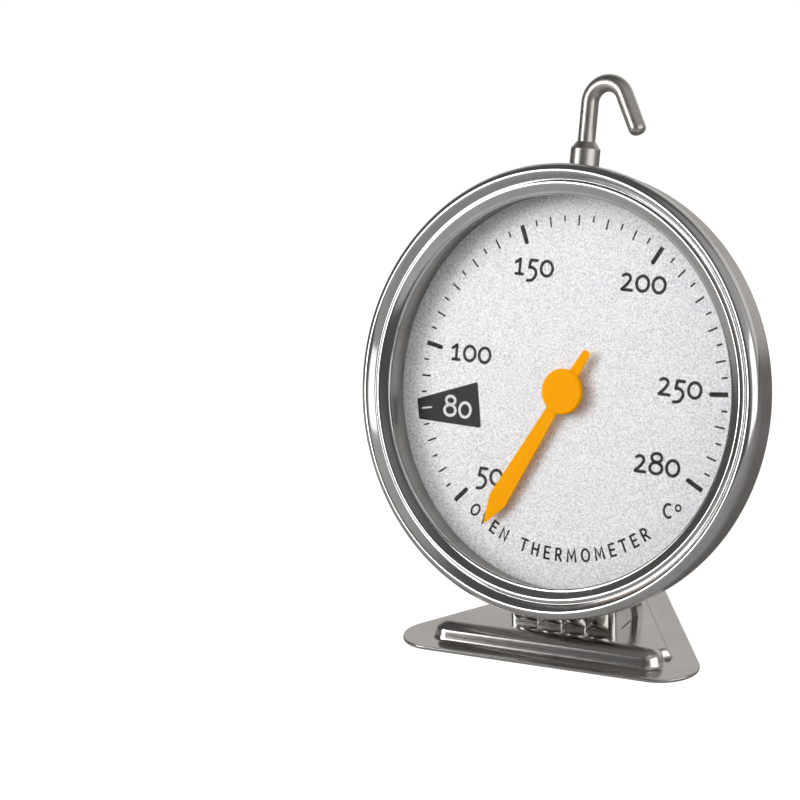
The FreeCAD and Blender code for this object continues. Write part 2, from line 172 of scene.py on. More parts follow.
def eased(points, steps=6):
    """Smooth curve through the points."""
    path = [Vector(p) for p in points]
    path = [2 * path[0] - path[1]] + path + [2 * path[-1] - path[-2]]
    out = []
    for p0, p1, p2, p3 in zip(path, path[1:], path[2:], path[3:]):
        for k in range(steps):
            t = k / steps
            out.append(0.5 * (2 * p1 + (p2 - p0) * t + (2 * p0 - 5 * p1 + 4 * p2 - p3) * t * t
                              + (3 * p1 - p0 - 3 * p2 + p3) * t**3))
    return [tuple(p) for p in out] + [tuple(path[-2])]


def filleted(corners):
    """Closed outline through (x, y, radius) corners, each rounded with its own radius."""
    out = []
    count = len(corners)
    for i, (x, y, radius) in enumerate(corners):
        here = Vector((x, y))
        before = Vector(corners[i - 1][:2]) - here
        after = Vector(corners[(i + 1) % count][:2]) - here
        half = before.angle(after) / 2
        reach = min(radius / math.tan(half), 0.49 * before.length, 0.49 * after.length)
        real = reach * math.tan(half)
        a, b = here + before.normalized() * reach, here + after.normalized() * reach
        middle = here + (before.normalized() + after.normalized()).normalized() * (real / math.sin(half) - real)
        out += arc_through(tuple(a), tuple(middle), tuple(b), max(3, int(math.degrees(math.pi - 2 * half) / 12)))
    return out


def turned_faces(segments, rows, closed=True):
    """Faces of an outline of so many points turned about an axis."""
    faces = []
    for k in range(segments):
        here, there = k * rows, (k + 1) % segments * rows
        for i in range(rows if closed else rows - 1):
            j = (i + 1) % rows
            faces.append((here + i, here + j, there + j, there + i))
    return faces


def turned(name, profile, segments, closed=True, body=FIXED):
    """A (radius, depth) outline turned about the case's axis."""
    angles = [2 * math.pi * k / segments for k in range(segments)]
    verts = [(radius * math.sin(angle), depth, radius * math.cos(angle)) for angle in angles
             for radius, depth in profile]
    return mesh_object(name, verts, turned_faces(segments, len(profile), closed), CASE, body=body)


def lathe(name, profile, segments=288, smooth_limit=38):
    """Closed ring from a closed outline."""
    piece = turned(name, profile, segments)
    keep_edges(piece, smooth_limit)
    return piece


def prism(name, outline, near, far, upright=False, body=FIXED):
    """Solid between two copies of a plan: (x, z) at two depths in the case, or (x, y) at two heights."""
    verts = [(a, b, level) if upright else (a, level, b) for level in (near, far) for a, b in outline]
    count = len(outline)
    faces = [tuple(range(count)), tuple(range(2 * count - 1, count - 1, -1))]
    faces += [(i, (i + 1) % count, count + (i + 1) % count, count + i) for i in range(count)]
    return mesh_object(name, verts, faces, None if upright else CASE, smooth=False, body=body)


def apply_modifier(piece, kind, **settings):
    """Puts one modifier's result into the mesh."""
    modifier = piece.modifiers.new(kind, kind)
    for key, value in settings.items():
        setattr(modifier, key, value)
    graph = bpy.context.evaluated_depsgraph_get()
    done = bpy.data.meshes.new_from_object(piece.evaluated_get(graph))
    piece.modifiers.clear()
    piece.data = done


# ---- material helpers ----
def add_node(tree, kind, values=None, **settings):
    """New shader node. Each value is the default of an input, or a socket to link to it."""
    node = tree.nodes.new("ShaderNode" + kind)
    for key, value in settings.items():
        setattr(node, key, value)
    for key, value in (values or {}).items():
        if isinstance(value, bpy.types.NodeSocket):
            tree.links.new(value, node.inputs[key])
        else:
            node.inputs[key].default_value = value
    return node


class Material:
    """A Principled material and short ways to add nodes to it."""

    def __init__(self, name, **values):
        self.material = bpy.data.materials.new(name)
        self.material.use_nodes = True
        self.tree = self.material.node_tree
        self.shader = self.tree.nodes["Principled BSDF"]
        self.add = partial(add_node, self.tree)
        for key, value in values.items():
            self.shader.inputs[key.replace("_", " ")].default_value = value

    def link(self, socket, target):
        self.tree.links.new(socket, self.shader.inputs[target])

    def maths(self, operation, a, b=0.0):
        return self.add("Math", {0: a, 1: b}, operation=operation).outputs[0]

    def mixed(self, a, share, b):
        """So much of one value, and the rest of another."""
        return self.maths("ADD", self.maths("MULTIPLY", a, share), self.maths("MULTIPLY", b, 1 - share))

    def ramp(self, factor, *stops):
        node = self.add("ValToRGB", {0: factor})
        points = node.color_ramp.elements
        while len(points) < len(stops):
            points.new(0.5)
        for point, (place, colour) in zip(points, stops):
            point.position = place
            point.color = (*colour, 1)
        return node.outputs[0]

    def noise(self, vector, scale, detail=3.0, roughness=0.55):
        values = {"Vector": vector, "Scale": scale, "Detail": detail, "Roughness": roughness}
        return self.add("TexNoise", values).outputs["Fac"]

    def spread(self, socket, low, high):
        """Noise around a half, mapped onto a range of values."""
        node = self.add("MapRange", {0: socket, 1: 0.3, 2: 0.7, 3: low, 4: high})
        return node.outputs[0]

    def bump(self, height, strength, distance):
        node = self.add("Bump", {"Height": height, "Strength": strength, "Distance": distance * MM})
        self.link(node.outputs[0], "Normal")

    def finish(self, colour, rough, relief):
        """Sets colour from (factor, stops...), roughness from (noise, low, high) and relief from a bump's values."""
        self.link(self.ramp(*colour), "Base Color")
        self.link(self.spread(*rough), "Roughness")
        self.bump(*relief)
        return self.material

    def position(self):
        """Place on the object, in millimetres."""
        coordinates = self.add("TexCoord").outputs["Object"]
        return self.add("VectorMath", {0: coordinates, "Scale": 1 / MM}, operation="SCALE").outputs[0]

    def case_position(self):
        """Place in the case's frame, in millimetres, as (x, depth, z) sockets."""
        inverse = CASE.inverted()
        coordinates = self.add("TexCoord").outputs["Object"]
        out = []
        for row in inverse[:3]:
            dot = self.add("VectorMath", {0: coordinates, 1: tuple(row[:3])}, operation="DOT_PRODUCT")
            out.append(self.maths("MULTIPLY", self.maths("ADD", dot.outputs["Value"], row[3]), 1 / MM))
        return out

    def combine(self, x, y, z):
        return self.add("CombineXYZ", {0: x, 1: y, 2: z}).outputs[0]


def turned_steel(name, light, dark, roughness, streak, grain=26.0):
    """Steel polished or brushed on a lathe: fine streaks run round the case's axis."""
    mat = Material(name, Metallic=1.0)
    x, depth, z = mat.case_position()
    radius = mat.maths("SQRT", mat.maths("ADD", mat.maths("MULTIPLY", x, x), mat.maths("MULTIPLY", z, z)))
    along = mat.maths("ADD", radius, mat.maths("MULTIPLY", depth, 0.83))
    stretch = ((x, 0.12), (along, grain), (z, 0.12))
    rings = mat.combine(*(mat.maths("MULTIPLY", value, scale) for value, scale in stretch))
    streaks = mat.noise(rings, 1.0, 4.0, 0.6)
    cloud = mat.noise(mat.combine(x, depth, z), 0.16, 3.0)
    return mat.finish((mat.mixed(cloud, 0.7, streaks), (0.34, dark), (0.66, light)),
                      (streaks, roughness * 0.75, roughness * 1.25), (streaks, streak, 0.02))


def sheet_steel(name, light, dark, roughness, streak, direction=(1.0, 22.0, 22.0)):
    """Rolled sheet or drawn wire: streaks run along one axis, with faint handling marks."""
    mat = Material(name, Metallic=1.0)
    place = mat.position()
    stretched = mat.add("VectorMath", {0: place, 1: direction}, operation="MULTIPLY").outputs[0]
    streaks = mat.noise(stretched, 0.5, 4.0, 0.6)
    cloud = mat.noise(place, 0.13, 4.0)
    tone = mat.mixed(cloud, 0.75, streaks)
    mat.link(mat.ramp(tone, (0.34, dark), (0.66, light)), "Base Color")
    worn = mat.maths("ADD", mat.spread(streaks, roughness * 0.8, roughness * 1.2),
                     mat.maths("MULTIPLY", mat.noise(place, 0.9, 5.0), 0.05))
    mat.link(worn, "Roughness")
    mat.bump(streaks, streak, 0.02)
    return mat.material


def dial_paint():
    """Silver-white lacquer with fine metallic flakes."""
    mat = Material("dial_paint", Metallic=0.1, IOR=1.4)
    place = mat.position()
    flakes = mat.add("TexVoronoi", {"Vector": place, "Scale": 5.2}, feature="F1").outputs["Color"]
    flake = mat.add("SeparateColor", {0: flakes}).outputs[0]
    grain = mat.noise(place, 5.0, 2.0, 0.75)
    tone = mat.mixed(flake, 0.6, grain)
    return mat.finish((tone, (0.15, (0.50, 0.51, 0.54)), (0.5, (0.82, 0.83, 0.86)), (0.8, (1.0, 1.0, 1.0))),
                      (flake, 0.42, 0.58), (tone, 0.22, 0.03))


def flat_ink(name, colour, roughness):
    mat = Material(name)
    grain = mat.noise(mat.position(), 4.0, 3.0, 0.7)
    shade = tuple(c * 0.82 for c in colour)
    return mat.finish((grain, (0.3, shade), (0.7, colour)), (grain, roughness - 0.06, roughness + 0.06),
                      (grain, 0.1, 0.01))


def orange_paint():
    mat = Material("orange_paint", Specular_IOR_Level=0.0)
    peel = mat.noise(mat.position(), 2.2, 3.0, 0.6)
    return mat.finish((peel, (0.3, (0.97, 0.375, 0.0)), (0.7, (1.0, 0.41, 0.0))), (peel, 0.42, 0.52),
                      (peel, 0.12, 0.012))


def clear_glass():
    """Thin flat glass: it lets the dial's light through unbent and adds a faint gloss."""
    material = bpy.data.materials.new("clear_glass")
    material.use_nodes = True
    material.node_tree.nodes.clear()
    add = partial(add_node, material.node_tree)
    facing = add("Math", {0: 1.0, 1: add("NewGeometry").outputs["Backfacing"]}, operation="SUBTRACT")
    share = add("Math", {0: add("Fresnel", {0: 1.13}).outputs[0], 1: facing.outputs[0]}, operation="MULTIPLY")
    dust = add("MapRange", {0: add("TexNoise", {"Scale": 60.0}).outputs["Fac"], 3: 0.02, 4: 0.05})
    gloss = add("BsdfGlossy", {"Roughness": dust.outputs[0]})
    clear = add("BsdfTransparent", {0: (0.992, 0.992, 0.992, 1)})
    mix = add("MixShader", {0: share.outputs[0], 1: clear.outputs[0], 2: gloss.outputs[0]})
    add("OutputMaterial", {0: mix.outputs[0]})
    return material


def brass(name, light, dark):
    mat = Material(name, Metallic=1.0)
    place = mat.position()
    cloud = mat.noise(place, 1.1, 4.0)
    return mat.finish((cloud, (0.35, dark), (0.65, light)), (cloud, 0.22, 0.36),
                      (mat.noise(place, 9.0, 2.0), 0.1, 0.01))


def rubber():
    mat = Material("black_rubber")
    grain = mat.noise(mat.position(), 5.0, 3.0)
    return mat.finish((grain, (0.3, (0.012, 0.012, 0.013)), (0.7, (0.03, 0.03, 0.032))), (grain, 0.6, 0.75),
                      (grain, 0.2, 0.02))


BEZEL_STEEL = turned_steel("bezel_steel", (0.80, 0.79, 0.775), (0.68, 0.675, 0.67), 0.12, 0.02)
CASE_STEEL = turned_steel("case_steel", (0.62, 0.585, 0.55), (0.52, 0.49, 0.46), 0.27, 0.14)
SPACER_STEEL = turned_steel("spacer_steel", (0.38, 0.372, 0.35), (0.28, 0.275, 0.26), 0.32, 0.1)
FOOT_STEEL = sheet_steel("foot_steel", (0.72, 0.695, 0.67), (0.62, 0.60, 0.58), 0.14, 0.05)
BRACKET_STEEL = sheet_steel("bracket_steel", (0.72, 0.70, 0.68), (0.6, 0.585, 0.57), 0.12, 0.015, (22.0, 22.0, 1.0))
HOOK_STEEL = sheet_steel("hook_steel", (0.66, 0.635, 0.61), (0.52, 0.50, 0.48), 0.31, 0.14, (9.0, 9.0, 1.5))
INNER_STEEL = sheet_steel("inner_steel", (0.5, 0.5, 0.5), (0.38, 0.38, 0.38), 0.35, 0.1)
BIMETAL = sheet_steel("bimetal_strip", (0.56, 0.51, 0.44), (0.42, 0.38, 0.32), 0.3, 0.1)
BRASS = brass("movement_brass", (0.78, 0.58, 0.24), (0.58, 0.41, 0.15))
DIAL_PAINT = dial_paint()
PRINT_BLACK = flat_ink("print_black", (0.010, 0.010, 0.012), 0.55)
PRINT_WHITE = flat_ink("print_white", (0.86, 0.86, 0.87), 0.5)
ORANGE = orange_paint()
GLASS = clear_glass()
RUBBER = rubber()


# ---- case ----
def back_outline(inset):
    """Outer half of the back, from the vent's edge out to the wall, moved inwards by the inset."""
    wall, flat = CASE_R - inset, CASE_DEPTH - inset
    corner = 1.5 - inset
    knee = math.sqrt(0.5) * corner
    foot_r, edge_r = STEP_R - inset, STEP_R - 2.0 - inset
    dome = arc_through((VENT_R, DOME_TOP - inset), (0.5 * (VENT_R + edge_r), DOME_TOP - 0.35 - inset),
                       (edge_r, DOME_EDGE - inset), 24)
    knuckle = arc_through((edge_r, DOME_EDGE - inset), (edge_r + 0.9, DOME_EDGE - 0.5 - inset),
                          (edge_r + 1.3, DOME_EDGE - 1.2 - inset), 8)
    heel = arc_through((foot_r - 0.1, flat + 0.5), (foot_r + 0.1, flat + 0.15), (foot_r + 0.5, flat), 6)
    shoulder = arc_through((wall - corner, flat), (wall - corner + knee, flat - corner + knee),
                           (wall, flat - corner), 10)
    return dome + knuckle[1:] + heel + shoulder


def case_shell():
    """Drawn case with a rolled-in vent edge."""
    front = CASE_LOW[1]
    outer, inner = back_outline(0), back_outline(CASE_SHEET)
    edge = arc_through((VENT_R, DOME_TOP - CASE_SHEET), (VENT_R - 0.12, DOME_TOP - CASE_SHEET / 2),
                       (VENT_R, DOME_TOP), 6)[1:-1]
    profile = outer + [(CASE_R, front), (CASE_R - CASE_SHEET, front)] + inner[::-1] + edge
    piece = lathe("case_shell_skin", profile)
    return finish_piece(piece, CASE_STEEL, "case_steel", "case_shell")


def bezel_ring():
    """Rolled ring: a thin lip, an inner cone with a small crest, a groove, the outer bead and a skirt over the wall."""
    skirt = BEZEL_HIGH[1]
    section = [(32.46, 1.76), (32.62, 1.65), (32.9, 1.56), (33.5, 1.28), (33.95, 1.06), (34.2, 0.98), (34.45, 1.0),
               (34.66, 1.08), (34.84, 1.14), (35.02, 1.02), (35.3, 0.7), (35.6, 0.37), (35.85, 0.14), (36.1, 0.02),
               (36.4, 0.02), (36.72, 0.16), (37.05, 0.42), (37.3, 0.75), (37.44, 1.05), (BEZEL_R, 1.4)]
    profile = [(LIP_R, 1.86)] + eased(section, 5)
    profile += arc_through((BEZEL_R, skirt - 0.3), (BEZEL_R - 0.09, skirt - 0.09), (BEZEL_R - 0.3, skirt), 5)
    profile += [(CASE_R + 0.02, skirt), (CASE_R + 0.02, 1.65), (36.0, 1.65), (33.6, 2.05), (LIP_R, 2.08)]
    piece = lathe("bezel_ring_rolled", profile, 384)
    return finish_piece(piece, BEZEL_STEEL, "bezel_steel", "bezel_ring")


def spacer_ring():
    """Ring between the glass and the dial, with a rolled rim at each end."""
    wall = SPACER_R + CASE_SHEET
    outer = 36.1
    profile = [(SPACER_R, GLASS_BACK + 0.2), (SPACER_R + 0.12, GLASS_BACK + 0.04), (wall, GLASS_BACK + 0.04),
               (wall, DIAL_FRONT - CASE_SHEET), (outer, DIAL_FRONT - CASE_SHEET), (outer, DIAL_FRONT),
               (SPACER_R - 0.02, DIAL_FRONT), (SPACER_R - 0.02, DIAL_FRONT - 0.16), (SPACER_R, DIAL_FRONT - 0.3)]
    piece = lathe("spacer_ring_turned", profile)
    return finish_piece(piece, SPACER_STEEL, "spacer_steel", "spacer_ring")


case_shell()
bezel_ring()
spacer_ring()


# ---- printed dial ----
class Print:
    """Ink solids, a few hundredths of a millimetre thick, on the front of the dial."""

    def __init__(self):
        self.verts, self.faces = [], []

    def slab(self, left, right, closed=False, lift=0.0):
        """Thin solid between two equally long rows of (x, z) points."""
        base = len(self.verts)
        count = len(left)
        front, back = DIAL_FRONT - PRINT_T - lift, DIAL_FRONT - lift * 0.5
        for depth in (front, back):
            for row in (left, right):
                self.verts += [(x, depth, z) for x, z in row]
        fl, fr, bl, br = (base + k * count for k in range(4))
        spans = count if closed else count - 1
        for i in range(spans):
            j = (i + 1) % count
            self.faces += [(fl + i, fl + j, fr + j, fr + i), (bl + i, br + i, br + j, bl + j),
                           (fl + i, bl + i, bl + j, fl + j), (fr + i, fr + j, br + j, br + i)]
        if not closed:
            for i in (0, count - 1):
                self.faces.append((fl + i, fr + i, br + i, bl + i))

    def stroke(self, points, width, closed=False, round_ends=True, lift=0.0):
        """A line of ink of even width along (x, z) points."""
        path = [Vector(p) for p in points]
        half = width / 2
        left, right = [], []
        count = len(path)
        for i, here in enumerate(path):
            runs = []
            if i or closed:
                runs.append((here - path[i - 1]).normalized())
            if i < count - 1 or closed:
                runs.append((path[(i + 1) % count] - here).normalized())
            along = (runs[0] + runs[-1]).normalized()
            side = Vector((-along.y, along.x)) * (half / max(0.5, along.dot(runs[0])))
            left.append(here + side)
            right.append(here - side)
        if round_ends and not closed:
            for end, inward in ((0, path[0] - path[1]), (-1, path[-1] - path[-2])):
                out = inward.normalized()
                side = Vector((-out.y, out.x))
                cap = [(path[end] + (out * math.sin(t) + side * math.cos(t)) * half,
                        path[end] + (out * math.sin(t) - side * math.cos(t)) * half)
                       for t in (0.5, 0.95, 1.3)]
                if end == 0:
                    left[:0] = [right_side for _, right_side in reversed(cap)]
                    right[:0] = [left_side for left_side, _ in reversed(cap)]
                else:
                    left += [left_side for left_side, _ in cap]
                    right += [right_side for _, right_side in cap]
        self.slab(left, right, closed, lift)

    def piece(self, name, material, slot):
        made = mesh_object(name, self.verts, self.faces, CASE, smooth=False)
        return finish_piece(made, material, slot)


def oval(x, z, rx, rz, start=0, end=360, count=28):
    """Points of an ellipse, clockwise from the top."""
    turns = [math.radians(start + (end - start) * k / count) for k in range(count + (end - start < 360))]
    return [(x + rx * math.sin(t), z + rz * math.cos(t)) for t in turns]


# Each glyph: its strokes and its advance. Old-style figures: 0, 1 and 2 are low, 5 hangs, 8 rises.
CLOSED_GLYPHS = "08O"
FIGURES = {
    "0": ([oval(1.35, 1.48, 1.12, 1.25)], 3.02),
    "1": ([[(1.12, 0.2), (1.12, 2.72)], [(0.3, 2.12), (1.12, 2.72)], [(0.42, 0.2), (1.8, 0.2)]], 2.45),
    "2": ([eased([(0.35, 2.5), (0.95, 2.78), (1.6, 2.55), (1.72, 1.95), (1.2, 1.15), (0.32, 0.28)]),
           [(0.32, 0.22), (2.15, 0.22)]], 2.72),
    "5": ([[(0.72, 2.68), (1.98, 2.68)], [(0.72, 2.68), (0.52, 1.42)],
           eased([(0.52, 1.42), (1.15, 1.45), (1.78, 1.0), (1.9, 0.3), (1.5, -0.4), (0.95, -0.72), (0.3, -0.78)])], 2.6),
    "8": ([oval(1.35, 1.1, 1.12, 0.92), oval(1.35, 2.8, 0.93, 0.72)], 3.05),
}
LETTERS = {
    "O": ([oval(0.62, 0.85, 0.55, 0.76)], 1.24),
    "V": ([[(0.06, 1.6), (0.5, 0.1), (0.94, 1.6)]], 1.0),
    "E": ([[(0.86, 0.1), (0.14, 0.1), (0.14, 1.6), (0.86, 1.6)], [(0.14, 0.87), (0.76, 0.87)]], 0.95),
    "N": ([[(0.14, 0.1), (0.14, 1.6), (0.98, 0.1), (0.98, 1.6)]], 1.12),
    "T": ([[(0.04, 1.6), (0.96, 1.6)], [(0.5, 1.6), (0.5, 0.1)]], 1.0),
    "H": ([[(0.14, 0.1), (0.14, 1.6)], [(0.98, 0.1), (0.98, 1.6)], [(0.14, 0.87), (0.98, 0.87)]], 1.12),
    "R": ([[(0.14, 0.1), (0.14, 1.6)], eased([(0.14, 1.6), (0.62, 1.57), (0.84, 1.22), (0.62, 0.85), (0.14, 0.8)]),
           [(0.48, 0.8), (0.9, 0.1)]], 0.98),
    "M": ([[(0.1, 0.1), (0.24, 1.6), (0.7, 0.45), (1.16, 1.6), (1.3, 0.1)]], 1.4),
}


def write(ink, text, x, z, glyphs, width, turn=0.0, scale=1.0, lift=0.0):
    """Writes a line of figures centred on (x, z), turned clockwise by so many degrees."""
    total = sum(glyphs[c][1] for c in text) * scale
    pen = -total / 2
    c, s = math.cos(math.radians(turn)), math.sin(math.radians(turn))
    for letter in text:
        strokes, advance = glyphs[letter]
        for points in strokes:
            put = [(pen + px * scale, pz * scale) for px, pz in points]
            turned_points = [(x + px * c + pz * s, z - px * s + pz * c) for px, pz in put]
            ink.stroke(turned_points, width, letter in CLOSED_GLYPHS, lift=lift)
        pen += advance * scale


def clock(degrees, radius):
    angle = math.radians(degrees)
    return radius * math.sin(angle), radius * math.cos(angle)


def temperature_angle(value):
    start, rate, easing = SCALE_LAW
    return start + rate * (value - 150) + easing * (value - 150) ** 2


def mark(ink, value, length, width, round_inner=False, lift=0.0):
    angle = temperature_angle(value)
    outer, inner = clock(angle, SCALE_R), clock(angle, SCALE_R - length)
    if not round_inner:
        ink.stroke([outer, inner], width, round_ends=False, lift=lift)
        return
    middle = clock(angle, SCALE_R - length + width / 2)
    ink.stroke([outer, middle], width, round_ends=False)
    ink.stroke([clock(angle, SCALE_R - length + width), middle], width)


def scale_marks():
    ink = Print()
    for value in range(50, 281, 5):
        if value == 80:
            continue
        if value % 50 == 0 or value == 280:
            mark(ink, value, 3.37, 0.78, round_inner=True)
        elif value % 10 == 0:
            mark(ink, value, 1.78, 0.31)
        else:
            mark(ink, value, 1.05, 0.31)
    ink.piece("scale_marks", PRINT_BLACK, "dial_face")


# Each number's distance from the centre and its swing past its own mark.
NUMBERS = {50: (21.1, -3.8), 100: (20.0, 1.8), 150: (21.7, 0.4), 200: (22.6, 2.1), 250: (20.9, -2.2),
           280: (20.6, 3.2)}


def scale_numbers():
    """Upright numbers beside their marks, and the unit, a letter C with a small ring."""
    ink = Print()
    for value, (radius, swing) in NUMBERS.items():
        x, z = clock(temperature_angle(value) + swing, radius)
        write(ink, str(value), x, z - 1.45, FIGURES, 0.53)
    unit_x, unit_z = clock(128.7, 27.2)
    c, s = math.cos(math.radians(-8)), math.sin(math.radians(-8))
    place = lambda points: [(unit_x + px * c + pz * s, unit_z - px * s + pz * c) for px, pz in points]
    ink.stroke(place(oval(-0.62, 0.0, 0.82, 1.08, 25, -205, 24)), 0.42)
    ink.stroke(place(oval(1.15, 0.45, 0.46, 0.5)), 0.3, closed=True)
    ink.piece("scale_numbers", PRINT_BLACK, "dial_face")


def eighty_field():
    """Dark tapered field that singles out the 80 mark, with its mark and number in white."""
    swing = temperature_angle(80)
    corners = [(swing + 3.3, 30.25, 0.15), (swing + 10.8, 17.9, 0.35), (swing - 14.3, 18.3, 0.35),
               (swing - 3.4, 30.2, 0.15)]
    outline = filleted([(*clock(angle, radius), r) for angle, radius, r in corners])
    finish_piece(prism("eighty_field", outline, DIAL_FRONT - PRINT_T, DIAL_FRONT), PRINT_BLACK, "dial_face")
    ink = Print()
    mark(ink, 80, 1.95, 0.3, lift=0.03)
    x, z = clock(swing - 1.6, 21.9)
    write(ink, "80", x, z - 1.75, FIGURES, 0.5, lift=0.03)
    ink.piece("eighty_number", PRINT_WHITE, "dial_face")


def dial_words(text="OVEN THERMOMETER", first=217.4, last=140.8, radius=28.4):
    """The kind of instrument, written round the bottom of the dial."""
    ink = Print()
    size, space = 1.3, 0.7
    widths = [size * (LETTERS[c][1] if c in LETTERS else space) for c in text]
    gap = (math.radians(first - last) * radius - sum(widths)) / (len(text) - 1)
    run = 0.0
    for letter, width in zip(text, widths):
        angle = first - math.degrees((run + width / 2) / radius)
        run += width + gap
        if letter in LETTERS:
            write(ink, letter, *clock(angle, radius), LETTERS, 0.37, turn=angle - 180, scale=size)
    ink.piece("dial_words", PRINT_BLACK, "dial_face")


scale_marks()
scale_numbers()
eighty_field()
dial_words()


# ---- pointer ----
def hand():
    tip, shoulder, tail = HAND_LENGTH, HAND_LENGTH - 4.6, HAND_TAIL
    right = [(0.14, tip), (1.82, shoulder), (1.02, 2.0), (1.05, -2.0), (0.74, -tail + 0.9)]
    end = arc_through((0.74, -tail + 0.9), (0, -tail + 0.05), (-0.74, -tail + 0.9), 8)[1:-1]
    outline = right + end + [(-x, z) for x, z in reversed(right)] + [(0, tip + 0.05)]
    c, s = math.cos(math.radians(HAND_ANGLE)), math.sin(math.radians(HAND_ANGLE))
    swung = [(x * c + z * s, z * c - x * s) for x, z in outline]
    piece = prism("pointer_blade", swung, HAND_FRONT + 0.02, HAND_BACK, body=POINTER)
    apply_modifier(piece, "BEVEL", width=0.07 * MM, segments=3, limit_method="ANGLE", angle_limit=math.radians(40))
    return finish_piece(piece, ORANGE, "pointer_orange", "pointer_hand")


def hub():
    """Round cover with a soft bevelled rim, closed in the middle."""
    rim = arc_through((HUB_R - 0.42, HUB_FRONT), (HUB_R - 0.1, HUB_FRONT + 0.1), (HUB_R, HUB_FRONT + 0.34), 8)
    under = HAND_FRONT + 0.01
    profile = [(0.001, HUB_FRONT), (0.5 * HUB_R, HUB_FRONT)] + rim + [(HUB_R, under), (0.001, under)]
    piece = turned("pointer_hub", profile, 128, closed=False, body=POINTER)
    with editing(piece.data) as shape:
        bmesh.ops.remove_doubles(shape, verts=shape.verts, dist=0.004 * MM)
        bmesh.ops.recalc_face_normals(shape, faces=shape.faces)
    keep_edges(piece, 50)
    return finish_piece(piece, ORANGE, "pointer_orange", "pointer_cap")


hand()
hub()


# ---- hook ----
def hook_wire():
    """Swan neck with a rounded, slightly faceted tip."""
    path = []
    foot = CASE_R + 0.9
    for k in range(25):
        path.append(Vector((0, HOOK_DEPTH, foot + (LEG_TOP - foot) * k / 24)))
    sweep = math.radians(180 - HOOK_SPLAY)
    for k in range(1, 65):
        angle = sweep * k / 64
        path.append(Vector((BEND_R - BEND_R * math.cos(angle), HOOK_DEPTH, LEG_TOP + BEND_R * math.sin(angle))))
    along = Vector((math.sin(math.radians(HOOK_SPLAY)), 0, -math.cos(math.radians(HOOK_SPLAY))))
    end = path[-1]
    for k in range(1, 13):
        path.append(end + along * (HOOK_FREE_LEG * k / 12))
    radii = [WIRE_R - INSIDE] * len(path)
    tip = path[-1]
    for k in range(1, 9):
        angle = math.radians(90 * k / 9)
        path.append(tip + along * (WIRE_R * 0.86 * math.sin(angle)))
        radii.append(WIRE_R * (math.cos(angle) * 0.72 + 0.28) if k < 8 else WIRE_R * 0.34)
    verts, faces = [], []
    segments, last = 56, len(path) - 1
    for i, here in enumerate(path):
        along = (path[min(i + 1, last)] - path[max(i - 1, 0)]).normalized()
        side, depth = Vector((along.z, 0, -along.x)), Vector((0, 1, 0))
        for k in range(segments):
            angle = 2 * math.pi * k / segments
            verts.append(here + (side * math.cos(angle) + depth * math.sin(angle)) * radii[i])
    for i in range(last):
        for k in range(segments):
            j = (k + 1) % segments
            faces.append((i * segments + k, i * segments + j, (i + 1) * segments + j, (i + 1) * segments + k))
    faces += [tuple(range(segments)), tuple(range(last * segments, (last + 1) * segments))]
    piece = mesh_object("hook_wire_bent", verts, faces, CASE, body=HOOK)
    keep_edges(piece, 50)
    return finish_piece(piece, HOOK_STEEL, "hook_steel", "hook_wire")


def hook_collar():
    """Ferrule whose foot follows the case wall, with a chamfered top round the wire."""
    profile = [(COLLAR_R, None), (COLLAR_R, COLLAR_TOP - 1.35)]
    profile += arc_through((COLLAR_R, COLLAR_TOP - 1.3), (COLLAR_R - 0.05, COLLAR_TOP - 1.1),
                           (COLLAR_R - 0.15, COLLAR_TOP - 0.98), 4)
    bore = WIRE_R + 0.05
    profile += [(WIRE_R + 0.2, COLLAR_TOP - 0.1), (WIRE_R + 0.14, COLLAR_TOP - 0.02), (bore, COLLAR_TOP - 0.04),
                (bore, COLLAR_TOP - 1.2), (bore, None)]
    verts, segments = [], 96
    for k in range(segments):
        angle = 2 * math.pi * k / segments
        for radius, height in profile:
            x, y = radius * math.cos(angle), HOOK_DEPTH + radius * math.sin(angle)
            verts.append((x, y, height if height is not None else math.sqrt(CASE_R**2 - x * x) + 0.01))
    piece = mesh_object("hook_ferrule", verts, turned_faces(segments, len(profile)), CASE)
    keep_edges(piece, 30)
    return finish_piece(piece, HOOK_STEEL, "hook_steel", "hook_collar")


hook_wire()
hook_collar()


# ---- foot ----
FOOT_X = 0.5 * (FOOT_LOW[0] + FOOT_HIGH[0])
FOOT_FRONT = FOOT_LOW[1]
FOOT_HALF = 0.5 * (FOOT_HIGH[0] - FOOT_LOW[0])
CORNER_HALF = (2 * FOOT_HALF - (FOOT_HIGH[1] - FOOT_LOW[1])) / (2 - math.sqrt(3))
CORNER_R = FOOT_HALF - CORNER_HALF
FOOT_Y = FOOT_FRONT + CORNER_R + CORNER_HALF / math.sqrt(3)
TIGHT_R = 0.8
SIDE_POINTS, CORNER_POINTS = 220, 26


def triangle_ring(margin):
    """Points of the foot's outline moved inwards, always in the same number and order."""
    radius = max(CORNER_R - margin, TIGHT_R * (1 - margin / 40))
    reach = max(CORNER_HALF - max(margin - (CORNER_R - radius), 0) * math.sqrt(3), 0.0)
    corners = []
    for k in range(3):
        angle = math.radians(-150 + 120 * k)
        cx = FOOT_X + reach * 2 / math.sqrt(3) * math.cos(angle)
        cy = FOOT_Y + reach * 2 / math.sqrt(3) * math.sin(angle)
        corners.append([(cx + radius * math.cos(angle + math.radians(-60 + 120 * i / CORNER_POINTS)),
                         cy + radius * math.sin(angle + math.radians(-60 + 120 * i / CORNER_POINTS)))
                        for i in range(CORNER_POINTS + 1)])
    ring = []
    for k in range(3):
        ring += corners[k]
        (ax, ay), (bx, by) = corners[k][-1], corners[(k + 1) % 3][0]
        ring += [(ax + (bx - ax) * i / SIDE_POINTS, ay + (by - ay) * i / SIDE_POINTS) for i in range(1, SIDE_POINTS)]
    return ring


def ease(value, low, high):
    t = min(max((value - low) / (high - low), 0.0), 1.0)
    return t * t * (3 - 2 * t)


